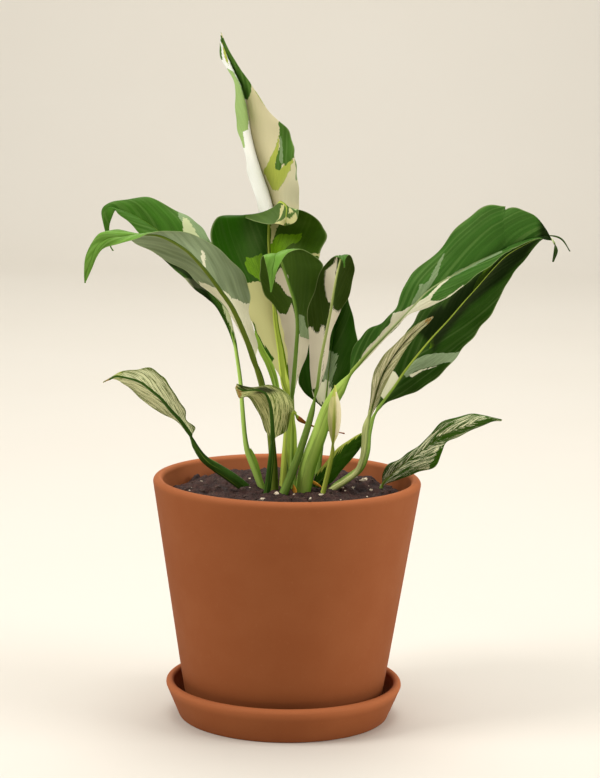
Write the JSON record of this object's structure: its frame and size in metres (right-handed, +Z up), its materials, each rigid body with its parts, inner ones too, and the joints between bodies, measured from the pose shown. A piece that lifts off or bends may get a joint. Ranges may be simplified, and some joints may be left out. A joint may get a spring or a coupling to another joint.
{
  "type": "potted domino peace lily",
  "caption": "Peace lily with white-splashed and mottled green leaves, arching and upright, growing from dark potting mix in a plain tapered terracotta pot on its saucer.",
  "frame": {"origin": "centre of the saucer's flat underside, on the surface it stands on", "axes": "+Z up, along the pot's axis; +X to the right and +Y away, seen from the plant's front"},
  "size_m": [0.2859, 0.16, 0.4071],
  "materials": {
    "terracotta": "smooth unglazed, matt, orange-brown",
    "potting_mix": "loose, moist, dark brown with pale grains",
    "leaf_green": "satin, dark green with cream and grey-green sectors, paler and duller beneath",
    "leaf_mottled": "satin, cream finely streaked with green",
    "spear": "satin, pale yellow-green"
  },
  "bodies": {
    "root": {"saucer": "terracotta", "pot": "terracotta", "soil": "potting_mix", "leaf_mottled_left": "leaf_mottled", "leaf_arching_front": "leaf_green", "leaf_arching_back": "leaf_green", "leaf_upright": "leaf_green", "leaf_cupped": "leaf_green", "leaf_curled_middle": "leaf_green", "leaf_curled_right": "leaf_green", "leaf_dark_behind": "leaf_green", "leaf_broad_upper": "leaf_green", "leaf_broad_lower": "leaf_green", "leaf_folded": "leaf_mottled", "leaf_mottled_right": "leaf_mottled", "leaf_mottled_front": "leaf_mottled", "spear_pale": "spear", "leaf_young": "leaf_green", "spear_green": "spear"}
  },
  "joints": []
}
